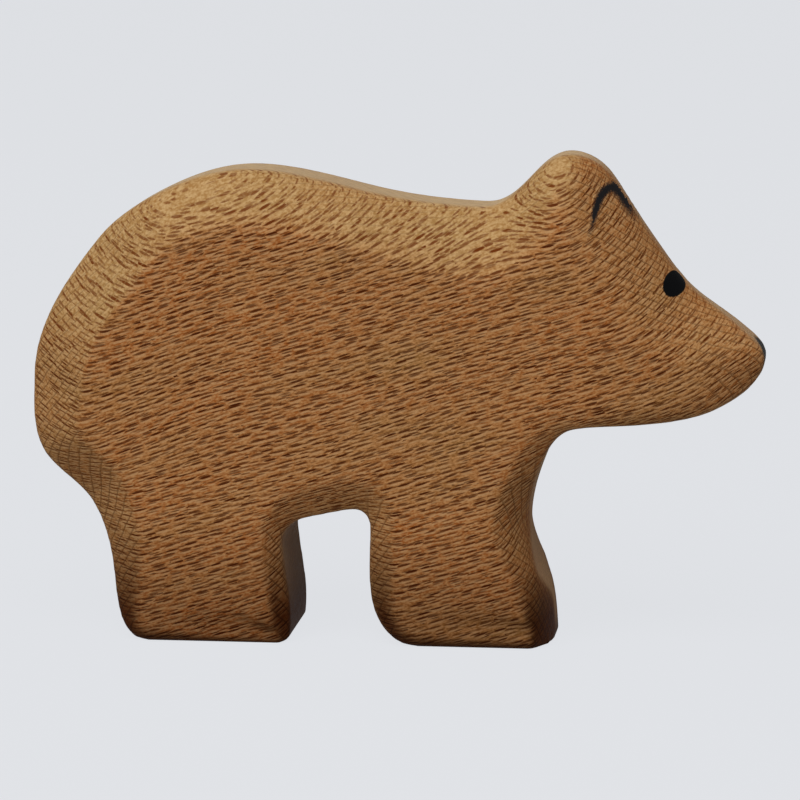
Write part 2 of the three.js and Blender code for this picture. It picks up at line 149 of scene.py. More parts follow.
def beechFigure(look):
    tree = bpy.data.node_groups.new("beechFigure", "ShaderNodeTree")
    for name, kind in (("Colour", "Color"), ("Roughness", "Float"), ("Relief", "Float")):
        tree.interface.new_socket(name=name, in_out="OUTPUT", socket_type="NodeSocket" + kind)
    rise = math.radians(look["grainRise"])
    grain = Vector((math.cos(rise), 0, math.sin(rise)))
    upright = Vector((-math.sin(rise), 0, math.cos(rise)))

    # Place in the board, in millimetres
    place = addNode(tree, "ShaderNodeTexCoord")
    board = addNode(tree, "ShaderNodeVectorMath", {
        0: place.outputs["Object"], "Scale": 1 / mm}, operation="SCALE")
    boardParts = addNode(tree, "ShaderNodeSeparateXYZ", {0: board.outputs["Vector"]})
    normalParts = addNode(tree, "ShaderNodeSeparateXYZ", {0: place.outputs["Normal"]})
    drift = addNode(tree, "ShaderNodeTexNoise", {
        "Vector": board.outputs["Vector"], "Scale": 1 / look["driftLength"], "Detail": 1.0})
    drifted = addNode(tree, "ShaderNodeVectorMath", {
        0: drift.outputs["Color"], 1: [look["drift"]] * 3, 2: board.outputs["Vector"]},
        operation="MULTIPLY_ADD")

    # The tree was a little twisted: towards the rump, above the leg, the rays turn about the grain
    twist = look["rumpTwist"]
    aboveLeg = addNode(tree, "ShaderNodeMapRange", {
        "Value": boardParts.outputs["Z"], "From Min": twist["z"][0], "From Max": twist["z"][1],
        "To Max": -math.radians(twist["degrees"])}, interpolation_type="SMOOTHSTEP")
    turn = addNode(tree, "ShaderNodeMapRange", {
        "Value": boardParts.outputs["X"], "From Min": twist["x"][0], "From Max": twist["x"][1],
        "To Max": aboveLeg.outputs["Result"]}, interpolation_type="SMOOTHSTEP")
    twisted = addNode(tree, "ShaderNodeVectorRotate", {
        "Vector": drifted.outputs["Vector"], "Center": (0, 0, twist["pivot"]), "Axis": grain,
        "Angle": turn.outputs["Result"]}, rotation_type="AXIS_ANGLE")

    # How squarely the surface cuts the grain
    endOn = addNode(tree, "ShaderNodeVectorMath", {
        0: place.outputs["Normal"], 1: grain}, operation="DOT_PRODUCT")
    endGrain = addNode(tree, "ShaderNodeMath", {0: endOn.outputs["Value"]}, operation="ABSOLUTE")
    endSlim = addNode(tree, "ShaderNodeMapRange", {"Value": endGrain.outputs[0], **look["endGrainSlim"]})
    bandStart = addNode(tree, "ShaderNodeMapRange", {"Value": endGrain.outputs[0], **look["bandStart"]})
    bandFull = addNode(tree, "ShaderNodeMath", {
        0: bandStart.outputs["Result"], 1: look["bandFade"]}, operation="ADD")

    # Millimetres along the grain, across it and along rays of this dip, and how squarely these are cut
    def placeInGrain(dip):
        lean = math.radians(dip)
        rayRun = Vector((0, -math.cos(lean), 0)) - upright * math.sin(lean)
        across = upright * math.cos(lean) - Vector((0, math.sin(lean), 0))
        axes = [addNode(tree, "ShaderNodeVectorMath", {
            0: twisted.outputs["Vector"], 1: axis}, operation="DOT_PRODUCT").outputs["Value"]
            for axis in (grain, across, rayRun)]
        inGrain = addNode(tree, "ShaderNodeCombineXYZ", dict(enumerate(axes)))
        facing = addNode(tree, "ShaderNodeVectorMath", {
            0: place.outputs["Normal"], 1: rayRun}, operation="DOT_PRODUCT")
        square = addNode(tree, "ShaderNodeMath", {0: facing.outputs["Value"]}, operation="ABSOLUTE")
        cutAcross = addNode(tree, "ShaderNodeMapRange", {"Value": square.outputs[0], **look["cutAcross"]})
        return inGrain.outputs["Vector"], axes[2], cutAcross.outputs["Result"]

    def stretched(inGrain, size, seed):
        return addNode(tree, "ShaderNodeVectorMath", {
            0: inGrain, 1: [1 / s for s in size], 2: [seed] * 3}, operation="MULTIPLY_ADD").outputs["Vector"]

    def rays(inGrain, alongRays, cutAcross, family):
        size, gap = family["size"], family["gap"]
        # A ray that lies in the surface is kept slim, or it would show as a broad block
        slimness = addNode(tree, "ShaderNodeMapRange", {"Value": cutAcross, **look["broadsideSlim"]})
        slimmer = addNode(tree, "ShaderNodeMath", {
            0: slimness.outputs["Result"], 1: endSlim.outputs["Result"]}, operation="MULTIPLY")
        slim = addNode(tree, "ShaderNodeCombineXYZ", {0: 1.0, 1: slimmer.outputs[0], 2: 1.0})
        cells = stretched(inGrain, gap, family["seed"])
        points = addNode(tree, "ShaderNodeTexVoronoi", {
            "Vector": cells, "Scale": 1.0, "Randomness": look["rayScatter"]})
        away = addNode(tree, "ShaderNodeVectorMath", {
            0: cells, 1: points.outputs["Position"]}, operation="SUBTRACT")
        inRay = addNode(tree, "ShaderNodeVectorMath", {
            0: away.outputs["Vector"], 1: [2 * g / s for g, s in zip(gap, size)]}, operation="MULTIPLY")
        slimRay = addNode(tree, "ShaderNodeVectorMath", {
            0: inRay.outputs["Vector"], 1: slim.outputs["Vector"]}, operation="MULTIPLY")
        reach = addNode(tree, "ShaderNodeVectorMath", {0: slimRay.outputs["Vector"]}, operation="LENGTH")
        spindle = addNode(tree, "ShaderNodeMapRange", {
            "Value": reach.outputs["Value"], **look["rayEdge"]}, interpolation_type="SMOOTHSTEP")
        chance = addNode(tree, "ShaderNodeSeparateColor", {0: points.outputs["Color"]})
        depth = addNode(tree, "ShaderNodeMapRange", {"Value": chance.outputs[0], **look["rayDepth"]})
        ray = addNode(tree, "ShaderNodeMath", {
            0: spindle.outputs["Result"], 1: depth.outputs["Result"]}, operation="MULTIPLY")
        # A ray that lies in the surface shows only in bands
        bands = addNode(tree, "ShaderNodeMath", {
            0: alongRays, 1: 1 / look["rayBand"], 2: chance.outputs[1]}, operation="MULTIPLY_ADD")
        band = addNode(tree, "ShaderNodeMath", {0: bands.outputs[0], 1: 0.5}, operation="PINGPONG")
        inBand = addNode(tree, "ShaderNodeMapRange", {
            "Value": band.outputs[0], "From Min": bandStart.outputs["Result"],
            "From Max": bandFull.outputs[0], "To Min": cutAcross}, interpolation_type="SMOOTHSTEP")
        shown = addNode(tree, "ShaderNodeMath", {
            0: ray.outputs[0], 1: inBand.outputs["Result"]}, operation="MULTIPLY")
        # Painted highlight: the wood just below a ray is drawn paler, as if it stood up a little and caught
        # the light
        besideRay = addNode(tree, "ShaderNodeVectorMath", {
            0: inRay.outputs["Vector"], 1: (0, look["lipPlace"], 0)}, operation="ADD")
        beside = addNode(tree, "ShaderNodeVectorMath", {0: besideRay.outputs["Vector"]}, operation="LENGTH")
        lip = addNode(tree, "ShaderNodeMapRange", {
            "Value": beside.outputs["Value"], **look["lipEdge"]}, interpolation_type="SMOOTHSTEP")
        return shown.outputs[0], lip.outputs["Result"]

    broadPlace = placeInGrain(look["broadRays"]["dip"])
    finePlace = placeInGrain(look["fineRays"]["dip"])
    inGrain, alongRays, cutAcross = broadPlace
    broad, broadLip = rays(*broadPlace, look["broadRays"])
    fine, fineLip = rays(*finePlace, look["fineRays"])
    softFine = addNode(tree, "ShaderNodeMath", {0: fine, 1: look["fineShare"]}, operation="MULTIPLY")
    allRays = addNode(tree, "ShaderNodeMath", {0: broad, 1: softFine.outputs[0]}, operation="MAXIMUM")
    lips = addNode(tree, "ShaderNodeMath", {0: broadLip, 1: fineLip}, operation="MAXIMUM")
    lipMask = addNode(tree, "ShaderNodeMath", {0: lips.outputs[0], 1: cutAcross}, operation="MULTIPLY")
    litLip = addNode(tree, "ShaderNodeMath", {
        0: lipMask.outputs[0], 1: look["lipShare"]}, operation="MULTIPLY")

    noises = {}
    for name in ("waver", "fibre", "pores", "patch"):
        kind = look[name]
        noises[name] = addNode(tree, "ShaderNodeTexNoise", {
            "Vector": stretched(inGrain, kind["size"], kind["seed"]), "Scale": 1.0,
            "Detail": kind["detail"], "Roughness": kind["roughness"]}).outputs["Fac"]

    # Growth rings: a thin darker line at the end of each year, which breaks the rays
    years = addNode(tree, "ShaderNodeMath", {0: alongRays, 1: 1 / look["ringWidth"]}, operation="MULTIPLY")
    unevenYears = addNode(tree, "ShaderNodeMath", {
        0: noises["waver"], 1: look["ringStray"], 2: years.outputs[0]}, operation="MULTIPLY_ADD")
    year = addNode(tree, "ShaderNodeMath", {0: unevenYears.outputs[0]}, operation="FRACT")
    ringEnd = addNode(tree, "ShaderNodeMapRange", {
        "Value": year.outputs[0], **look["ringEdge"]}, interpolation_type="SMOOTHSTEP")
    onEnd = addNode(tree, "ShaderNodeMapRange", {"Value": endGrain.outputs[0], **look["ringOnEnd"]})
    ringDepth = addNode(tree, "ShaderNodeMath", {
        0: onEnd.outputs["Result"], 1: look["ringDepth"]}, operation="MULTIPLY")
    ringMask = addNode(tree, "ShaderNodeMath", {
        0: ringEnd.outputs["Result"], 1: ringDepth.outputs[0]}, operation="MULTIPLY")
    ringBreak = addNode(tree, "ShaderNodeMath", {
        0: ringEnd.outputs["Result"], 1: -look["ringBreak"], 2: 1.0}, operation="MULTIPLY_ADD")
    broken = addNode(tree, "ShaderNodeMath", {
        0: allRays.outputs[0], 1: ringBreak.outputs[0]}, operation="MULTIPLY")
    clear = addNode(tree, "ShaderNodeMapRange", {"Value": cutAcross, "To Min": look["alongShare"]})
    rayMask = addNode(tree, "ShaderNodeMath", {
        0: broken.outputs[0], 1: clear.outputs["Result"]}, operation="MULTIPLY")

    # Colour of the wood between the rays, with the painted highlight below each ray
    streak = addNode(tree, "ShaderNodeMath", {0: noises["fibre"], 1: noises["pores"]}, operation="ADD")
    streakMask = addNode(tree, "ShaderNodeMapRange", {"Value": streak.outputs[0], **look["streak"]})
    redMask = addNode(tree, "ShaderNodeMapRange", {"Value": noises["patch"], **look["redder"]})
    greyMask = addNode(tree, "ShaderNodeMapRange", {"Value": noises["patch"], **look["greyer"]})
    colour = srgb(look["wood"])
    for mask, over in (
            (redMask, "redWood"), (greyMask, "greyWood"), (streakMask, "lightWood"), (litLip, "lip")):
        colour = addNode(tree, "ShaderNodeMix", {
            0: mask.outputs[0], mixFirst: colour, mixSecond: srgb(look[over])},
            data_type="RGBA").outputs[mixResult]

    # Paler wood on the carved edges of the back, neck and ear, most where they face up and away from the
    # nose: painted light over a little of their own paler tone
    onFlat = addNode(tree, "ShaderNodeMath", {0: normalParts.outputs["Y"]}, operation="ABSOLUTE")
    offFlat = addNode(tree, "ShaderNodeMapRange", {"Value": onFlat.outputs[0], **look["offFlat"]})
    facesUp = addNode(tree, "ShaderNodeMapRange", {"Value": normalParts.outputs["Z"], **look["facesUp"]})
    facesBack = addNode(tree, "ShaderNodeMapRange", {
        "Value": normalParts.outputs["X"], **look["facesBack"]})
    upAndBack = addNode(tree, "ShaderNodeMath", {
        0: facesUp.outputs["Result"], 1: facesBack.outputs["Result"]}, operation="MULTIPLY")
    carved = addNode(tree, "ShaderNodeMath", {
        0: offFlat.outputs["Result"], 1: upAndBack.outputs[0]}, operation="MULTIPLY")
    pale = addNode(tree, "ShaderNodeMix", {
        0: streakMask.outputs["Result"], mixFirst: srgb(look["carvedAndLitWood"]),
        mixSecond: srgb(look["carvedAndLitStreak"])}, data_type="RGBA")

    # Rays are dark where the surface cuts across them, and orange where it runs along them or is painted lit
    uncarved = addNode(tree, "ShaderNodeMapRange", {"Value": carved.outputs[0], **look["darkRays"]})
    darkRay = addNode(tree, "ShaderNodeMath", {
        0: cutAcross, 1: uncarved.outputs["Result"]}, operation="MULTIPLY")
    rayColour = addNode(tree, "ShaderNodeMix", {
        0: darkRay.outputs[0], mixFirst: srgb(look["rayBroadside"]), mixSecond: srgb(look["rayCut"])},
        data_type="RGBA")

    # The sawn rim of the board is greyer and paler; the extra paleness along the back is painted light from
    # above
    rim = addNode(tree, "ShaderNodeAttribute", attribute_name="sawnEdge")
    rimPaleAndTopLit = addNode(tree, "ShaderNodeMapRange", {"Value": normalParts.outputs["Z"], **look["rimPaleAndTopLit"]})
    rimMask = addNode(tree, "ShaderNodeMath", {
        0: rim.outputs["Fac"], 1: rimPaleAndTopLit.outputs["Result"]}, operation="MULTIPLY")
    for mask, over in (
            (carved, pale.outputs[mixResult]), (ringMask, srgb(look["ringLine"])),
            (rayMask, rayColour.outputs[mixResult]), (rimMask, srgb(look["sawn"]))):
        colour = addNode(tree, "ShaderNodeMix", {
            0: mask.outputs[0], mixFirst: colour, mixSecond: over}, data_type="RGBA").outputs[mixResult]

    # Painted shade: the feet and the edges of the legs are darkened in colour, for the shade near the floor
    # and under the body
    handled = addNode(tree, "ShaderNodeAttribute", attribute_name="handled")
    colour = addNode(tree, "ShaderNodeMix", {
        0: handled.outputs["Fac"], mixFirst: colour, mixSecond: srgb(look["handled"])},
        data_type="RGBA", blend_type="MULTIPLY").outputs[mixResult]

    roughness = addNode(tree, "ShaderNodeMapRange", {"Value": streak.outputs[0], **look["sheen"]})
    relief = addNode(tree, "ShaderNodeMath", {
        0: rayMask.outputs[0], 1: look["rayRelief"], 2: streak.outputs[0]}, operation="MULTIPLY_ADD")
    addNode(tree, "NodeGroupOutput", {
        "Colour": colour, "Roughness": roughness.outputs["Result"], "Relief": relief.outputs[0]})
    return tree


figure = beechFigure(beechLook)


def newMaterial(name):
    material = bpy.data.materials.new(name)
    material.use_nodes = True
    material.node_tree.nodes.clear()
    return material, material.node_tree


def sandedBeech(look):
    material, tree = newMaterial("beechSandedOiled")
    wood = addNode(tree, "ShaderNodeGroup", node_tree=figure)
    bump = addNode(tree, "ShaderNodeBump", {"Height": wood.outputs["Relief"], **look["bump"]})
    surface = addNode(tree, "ShaderNodeBsdfPrincipled", {
        "Base Color": wood.outputs["Colour"], "Roughness": wood.outputs["Roughness"],
        "Normal": bump.outputs["Normal"], **look["oil"]})
    addNode(tree, "ShaderNodeOutputMaterial", {"Surface": surface.outputs[0]})
    return material


# Matt paint that has soaked a little into the wood: dark and flat in the middle of a mark, and frayed by
# the brush at its border, where the beech shows through
paintLook = {
    "bristle": 0.35,  # mm, the streaks of the brush
    "bump": {"Strength": 0.4, "Distance": 0.06 * mm},
    "binder": {"IOR": 1.45, "Specular IOR Level": 0.06},
    # The border is where a mark starts and where it is full, as shares of the way in to its middle
    "eye": {"pigment": "#060607", "roughness": 0.8, "border": (0.08, 0.16), "ragged": 0.10},
    "ear": {"pigment": "#201e1f", "roughness": 0.85, "border": (0.02, 0.70), "ragged": 0.7},
    "nose": {"pigment": "#23211e", "roughness": 0.7, "border": (0.05, 0.30), "ragged": 0.25},
}


def brushedPaint(name, pigment, roughness, border, ragged):
    material, tree = newMaterial(name)
    wood = addNode(tree, "ShaderNodeGroup", node_tree=figure)
    cover = addNode(tree, "ShaderNodeAttribute", attribute_name="cover")
    place = addNode(tree, "ShaderNodeTexCoord")
    bristle = addNode(tree, "ShaderNodeTexNoise", {
        "Vector": place.outputs["Object"], "Scale": 1 / (paintLook["bristle"] * mm), "Detail": 2.0})
    frayed = addNode(tree, "ShaderNodeMath", {
        0: bristle.outputs["Fac"], 1: ragged, 2: cover.outputs["Fac"]}, operation="MULTIPLY_ADD")
    mask = addNode(tree, "ShaderNodeMapRange", {
        "Value": frayed.outputs[0], "From Min": border[0] + ragged / 2, "From Max": border[1] + ragged / 2},
        interpolation_type="SMOOTHSTEP")
    colour = addNode(tree, "ShaderNodeMix", {
        0: mask.outputs["Result"], mixFirst: wood.outputs["Colour"], mixSecond: srgb(pigment)},
        data_type="RGBA")
    sheen = addNode(tree, "ShaderNodeMix", {
        0: mask.outputs["Result"], numberFirst: wood.outputs["Roughness"], numberSecond: roughness},
        data_type="FLOAT")
    bump = addNode(tree, "ShaderNodeBump", {"Height": wood.outputs["Relief"], **paintLook["bump"]})
    surface = addNode(tree, "ShaderNodeBsdfPrincipled", {
        "Base Color": colour.outputs[mixResult], "Roughness": sheen.outputs[0],
        "Normal": bump.outputs["Normal"], **paintLook["binder"]})
    addNode(tree, "ShaderNodeOutputMaterial", {"Surface": surface.outputs[0]})
    return material


beechMaterial = sandedBeech(beechLook)
eyePaint = brushedPaint("eyePaintMattBlack", **paintLook["eye"])
earPaint = brushedPaint("earPaintBrushedGrey", **paintLook["ear"])
nosePaint = brushedPaint("nosePaintBrushedDark", **paintLook["nose"])
print("materials: beech and", len([eyePaint, earPaint, nosePaint]), "paints")


def newTree(name, sockets):
    tree = bpy.data.node_groups.new(name, "GeometryNodeTree")
    for socket, kind in sockets.items():
        tree.interface.new_socket(name=socket, in_out="INPUT", socket_type="NodeSocket" + kind)
    tree.interface.new_socket(name="Geometry", in_out="OUTPUT", socket_type="NodeSocketGeometry")
    return tree, addNode(tree, "NodeGroupInput").outputs


def endTree(tree, geometry, material):
    real = addNode(tree, "GeometryNodeRealizeInstances", {"Geometry": geometry})
    finished = addNode(tree, "GeometryNodeSetMaterial", {
        "Geometry": real.outputs["Geometry"], "Material": material})
    addNode(tree, "NodeGroupOutput", {"Geometry": finished.outputs["Geometry"]})
    return tree


def applyTree(piece, tree, values):
    modifier = piece.modifiers.new(tree.name, "NODES")
    modifier.node_group = tree
    for socket in tree.interface.items_tree:
        if socket.in_out == "INPUT" and socket.name in values:
            modifier[socket.identifier] = values[socket.name]
    depsgraph = bpy.context.evaluated_depsgraph_get()
    made = bpy.data.meshes.new_from_object(
        piece.evaluated_get(depsgraph), preserve_all_data_layers=True, depsgraph=depsgraph)
    piece.modifiers.clear()
    piece.data = made
    made.name = piece.name
    return piece


def newObject(name, shape=None):
    piece = bpy.data.objects.new(name, shape or bpy.data.meshes.new(name))
    scene.collection.objects.link(piece)
    return piece


# The wooden body, with the marks of hand sanding: eased edges and a surface that wanders a little, and
# painted shade on the feet and the edges of the legs
sanding = {
    "weld": 0.002,  # mm, the loose triangles of the CAD body are joined within this
    "voxel": 0.505,  # mm, fineness of the finished surface
    "rounds": {
        "Arris passes": 2,  # rounds that ease every edge
        "Head passes": 6,  # more rounds that take the ridges off the sides of the head
        "Rim passes": 5,  # rounds that soften the border of the sawn rim
        "Dark passes": 4,  # and of the painted shade on the legs and feet
    },
    "lengths": {
        "Head start": 22 * mm,  # along the figure
        "Head full": 34 * mm,
        "Cheek start": 4 * mm,  # out from its middle
        "Cheek full": 8 * mm,
        "Unevenness": 0.10 * mm,
        "Uneven length": 8 * mm,
        "Sole band": 1.5 * mm,  # the soles stay flat
        "Foot height": 5 * mm,  # the feet get painted shade below this
        "Foot full": 1.8 * mm,  # and get the full painted shade below this
        "Leg height": 21 * mm,  # the legs get no painted shade above this
        "Clean start": -12 * mm,  # along the figure, the sawn rim gets less painted shade from here
        "Clean full": -2 * mm,
    },
    "rimFacing": 0.02,  # the rim faces the sides by less than this share
    "offSide": {"From Min": 0.99, "From Max": 0.82, "To Min": 0.44},  # the flat sides get less painted shade
    "rimShadeSpared": 0.8,  # how much of the painted shade the rim is spared
}


def handSanding():
    tree, given = newTree("handSanding", {
        "Geometry": "Geometry", "Board": "Object", "Finish": "Material",
        **dict.fromkeys(sanding["rounds"], "Int"), **dict.fromkeys(sanding["lengths"], "Float")})
    board = addNode(tree, "GeometryNodeObjectInfo", {"Object": given["Board"]})
    normal = addNode(tree, "GeometryNodeInputNormal")
    sides = addNode(tree, "ShaderNodeSeparateXYZ", {0: normal.outputs[0]})
    outward = addNode(tree, "ShaderNodeMath", {0: sides.outputs["Y"]}, operation="ABSOLUTE")
    isRim = addNode(tree, "ShaderNodeMath", {
        0: outward.outputs[0], 1: sanding["rimFacing"]}, operation="LESS_THAN")
    marked = addNode(tree, "GeometryNodeStoreNamedAttribute", {
        "Geometry": board.outputs["Geometry"], "Name": "sawnEdge", "Value": isRim.outputs[0]}, domain="FACE")
    rim = addNode(tree, "GeometryNodeInputNamedAttribute", {"Name": "sawnEdge"})
    nearest = addNode(tree, "GeometryNodeSampleNearestSurface", {
        "Mesh": marked.outputs["Geometry"], "Value": rim.outputs["Attribute"]})
    softRim = addNode(tree, "GeometryNodeBlurAttribute", {
        "Value": nearest.outputs["Value"], "Iterations": given["Rim passes"]})
    kept = addNode(tree, "GeometryNodeStoreNamedAttribute", {
        "Geometry": given["Geometry"], "Name": "sawnEdge", "Value": softRim.outputs["Value"]})

    place = addNode(tree, "GeometryNodeInputPosition")
    eased = addNode(tree, "GeometryNodeBlurAttribute", {
        "Value": place.outputs[0], "Iterations": given["Arris passes"]}, data_type="FLOAT_VECTOR")
    easedBody = addNode(tree, "GeometryNodeSetPosition", {
        "Geometry": kept.outputs["Geometry"], "Position": eased.outputs["Value"]})

    spot = addNode(tree, "ShaderNodeSeparateXYZ", {0: place.outputs[0]})
    onHead = addNode(tree, "ShaderNodeMapRange", {
        "Value": spot.outputs["X"], "From Min": given["Head start"], "From Max": given["Head full"]})
    fromMiddle = addNode(tree, "ShaderNodeMath", {0: spot.outputs["Y"]}, operation="ABSOLUTE")
    onSide = addNode(tree, "ShaderNodeMapRange", {
        "Value": fromMiddle.outputs[0], "From Min": given["Cheek start"], "From Max": given["Cheek full"]})
    onCheek = addNode(tree, "ShaderNodeMath", {
        0: onHead.outputs["Result"], 1: onSide.outputs["Result"]}, operation="MULTIPLY")
    rounder = addNode(tree, "GeometryNodeBlurAttribute", {
        "Value": place.outputs[0], "Iterations": given["Head passes"], "Weight": onCheek.outputs[0]},
        data_type="FLOAT_VECTOR")
    roundHead = addNode(tree, "GeometryNodeSetPosition", {
        "Geometry": easedBody.outputs["Geometry"], "Position": rounder.outputs["Value"]})

    perMetre = addNode(tree, "ShaderNodeMath", {0: 1.0, 1: given["Uneven length"]}, operation="DIVIDE")
    waves = addNode(tree, "ShaderNodeTexNoise", {
        "Vector": place.outputs[0], "Scale": perMetre.outputs[0], "Detail": 1.0})
    aboveSole = addNode(tree, "ShaderNodeMapRange", {
        "Value": spot.outputs["Z"], "From Max": given["Sole band"]})
    depth = addNode(tree, "ShaderNodeMath", {
        0: waves.outputs["Fac"], 1: given["Unevenness"]}, operation="MULTIPLY")
    depthAbove = addNode(tree, "ShaderNodeMath", {
        0: depth.outputs[0], 1: aboveSole.outputs["Result"]}, operation="MULTIPLY")
    inward = addNode(tree, "ShaderNodeMath", {0: depthAbove.outputs[0], 1: -1.0}, operation="MULTIPLY")
    offset = addNode(tree, "ShaderNodeVectorMath", {
        0: normal.outputs[0], "Scale": inward.outputs[0]}, operation="SCALE")
    sanded = addNode(tree, "GeometryNodeSetPosition", {
        "Geometry": roundHead.outputs["Geometry"], "Offset": offset.outputs["Vector"]})
    smooth = addNode(tree, "GeometryNodeSetShadeSmooth", {"Geometry": sanded.outputs["Geometry"]})

    # Painted shade: dark feet and edges of the legs, less on the flat sides and on the sawn rim of the front
    # leg
    offSide = addNode(tree, "ShaderNodeMapRange", {"Value": outward.outputs[0], **sanding["offSide"]})
    onLeg = addNode(tree, "ShaderNodeMapRange", {
        "Value": spot.outputs["Z"], "From Min": given["Leg height"], "From Max": given["Foot height"]})
    spared = addNode(tree, "ShaderNodeMapRange", {
        "Value": spot.outputs["X"], "From Min": given["Clean start"], "From Max": given["Clean full"],
        "To Max": -sanding["rimShadeSpared"]})
    carved = addNode(tree, "ShaderNodeMath", {
        0: rim.outputs["Attribute"], 1: spared.outputs["Result"], 2: 1.0}, operation="MULTIPLY_ADD")
    onEdge = addNode(tree, "ShaderNodeMath", {
        0: onLeg.outputs["Result"], 1: carved.outputs[0]}, operation="MULTIPLY")
    onFoot = addNode(tree, "ShaderNodeMapRange", {
        "Value": spot.outputs["Z"], "From Min": given["Foot height"], "From Max": given["Foot full"]})
    shadedPlaces = addNode(tree, "ShaderNodeMath", {
        0: onEdge.outputs[0], 1: onFoot.outputs["Result"]}, operation="MAXIMUM")
    dark = addNode(tree, "ShaderNodeMath", {
        0: shadedPlaces.outputs[0], 1: offSide.outputs["Result"]}, operation="MULTIPLY")
    softDark = addNode(tree, "GeometryNodeBlurAttribute", {
        "Value": dark.outputs[0], "Iterations": given["Dark passes"]})
    handled = addNode(tree, "GeometryNodeStoreNamedAttribute", {
        "Geometry": smooth.outputs["Geometry"], "Name": "handled", "Value": softDark.outputs["Value"]})
    return endTree(tree, handled.outputs["Geometry"], given["Finish"])


def mergedCopy(node):
    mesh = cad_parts[node].data.copy()
    work = bmesh.new()
    work.from_mesh(mesh)
    bmesh.ops.remove_doubles(work, verts=work.verts, dist=sanding["weld"] * mm)
    work.to_mesh(mesh)
    work.free()
    mesh.materials.clear()
    return mesh


def makeWood():
    board = newObject("board_pattern", mergedCopy("bear_body"))
    wood = newObject("bear_wood", mergedCopy("bear_body"))
    remesh = wood.modifiers.new("fineSurface", "REMESH")
    remesh.mode = "VOXEL"
    remesh.voxel_size = sanding["voxel"] * mm
    applyTree(wood, handSanding(), {
        **sanding["rounds"], **sanding["lengths"], "Board": board, "Finish": beechMaterial})
    bpy.data.objects.remove(board)
    return wood


wood = makeWood()
print("wood:", len(wood.data.polygons), "faces")


# Every painted mark is a flat patch that is laid on the wood and given a thin closed body
paintFilm = {
    "Film": 0.03 * mm,  # how far the paint stands out of the wood
    "Sink": 0.10 * mm,  # and how far its underside lies in it
    "Edge": 0.12,  # share of a mark over which its edge rises out of the wood
    "Seam": 0.001 * mm,  # top and underside are joined within this
    "Reach": 100 * mm,  # how far a mark may be from the wood before it is laid on it
}
markSockets = {
    "Wood": "Object", "Paint": "Material", "Ray": "Vector", **dict.fromkeys(paintFilm, "Float")}


def layOnWood(tree, given, patch):
    wood = addNode(tree, "GeometryNodeObjectInfo", {"Object": given["Wood"]})
    rim = addNode(tree, "GeometryNodeInputNamedAttribute", {"Name": "sawnEdge"})
    hit = addNode(tree, "GeometryNodeRaycast", {
        "Target Geometry": wood.outputs["Geometry"], "Attribute": rim.outputs["Attribute"],
        "Ray Direction": given["Ray"], "Ray Length": given["Reach"]})
    missed = addNode(tree, "FunctionNodeBooleanMath", {0: hit.outputs["Is Hit"]}, operation="NOT")
    onWood = addNode(tree, "GeometryNodeDeleteGeometry", {"Geometry": patch, "Selection": missed.outputs[0]})
    withRim = addNode(tree, "GeometryNodeStoreNamedAttribute", {
        "Geometry": onWood.outputs["Geometry"], "Name": "sawnEdge", "Value": hit.outputs["Attribute"]})
    withLift = addNode(tree, "GeometryNodeStoreNamedAttribute", {
        "Geometry": withRim.outputs["Geometry"], "Name": "lift", "Value": hit.outputs["Hit Normal"]},
        data_type="FLOAT_VECTOR")
    below = addNode(tree, "ShaderNodeMath", {0: given["Sink"], 1: -1.0}, operation="MULTIPLY")
    sunk = addNode(tree, "ShaderNodeVectorMath", {
        0: hit.outputs["Hit Normal"], "Scale": below.outputs[0]}, operation="SCALE")
    bed = addNode(tree, "ShaderNodeVectorMath", {
        0: hit.outputs["Hit Position"], 1: sunk.outputs["Vector"]}, operation="ADD")
    laid = addNode(tree, "GeometryNodeSetPosition", {
        "Geometry": withLift.outputs["Geometry"], "Position": bed.outputs["Vector"]})
    lift = addNode(tree, "GeometryNodeInputNamedAttribute", {"Name": "lift"}, data_type="FLOAT_VECTOR")
    cover = addNode(tree, "GeometryNodeInputNamedAttribute", {"Name": "cover"})
    dip = addNode(tree, "ShaderNodeMath", {0: given["Film"], 1: -1.0}, operation="MULTIPLY")
    height = addNode(tree, "ShaderNodeMapRange", {
        "Value": cover.outputs["Attribute"], "From Max": given["Edge"],
        "To Min": dip.outputs[0], "To Max": given["Film"]})
    thickness = addNode(tree, "ShaderNodeMath", {
        0: height.outputs["Result"], 1: given["Sink"]}, operation="ADD")
    raised = addNode(tree, "GeometryNodeExtrudeMesh", {
        "Mesh": laid.outputs["Geometry"], "Offset": lift.outputs["Attribute"],
        "Offset Scale": thickness.outputs[0], "Individual": False}, mode="FACES")
    under = addNode(tree, "GeometryNodeFlipFaces", {"Mesh": laid.outputs["Geometry"]})
    both = addNode(tree, "GeometryNodeJoinGeometry")
    tree.links.new(raised.outputs["Mesh"], both.inputs[0])
    tree.links.new(under.outputs["Mesh"], both.inputs[0])
    closed = addNode(tree, "GeometryNodeMergeByDistance", {
        "Geometry": both.outputs["Geometry"], "Distance": given["Seam"]})
    smooth = addNode(tree, "GeometryNodeSetShadeSmooth", {"Geometry": closed.outputs["Geometry"]})
    return endTree(tree, smooth.outputs["Geometry"], given["Paint"])


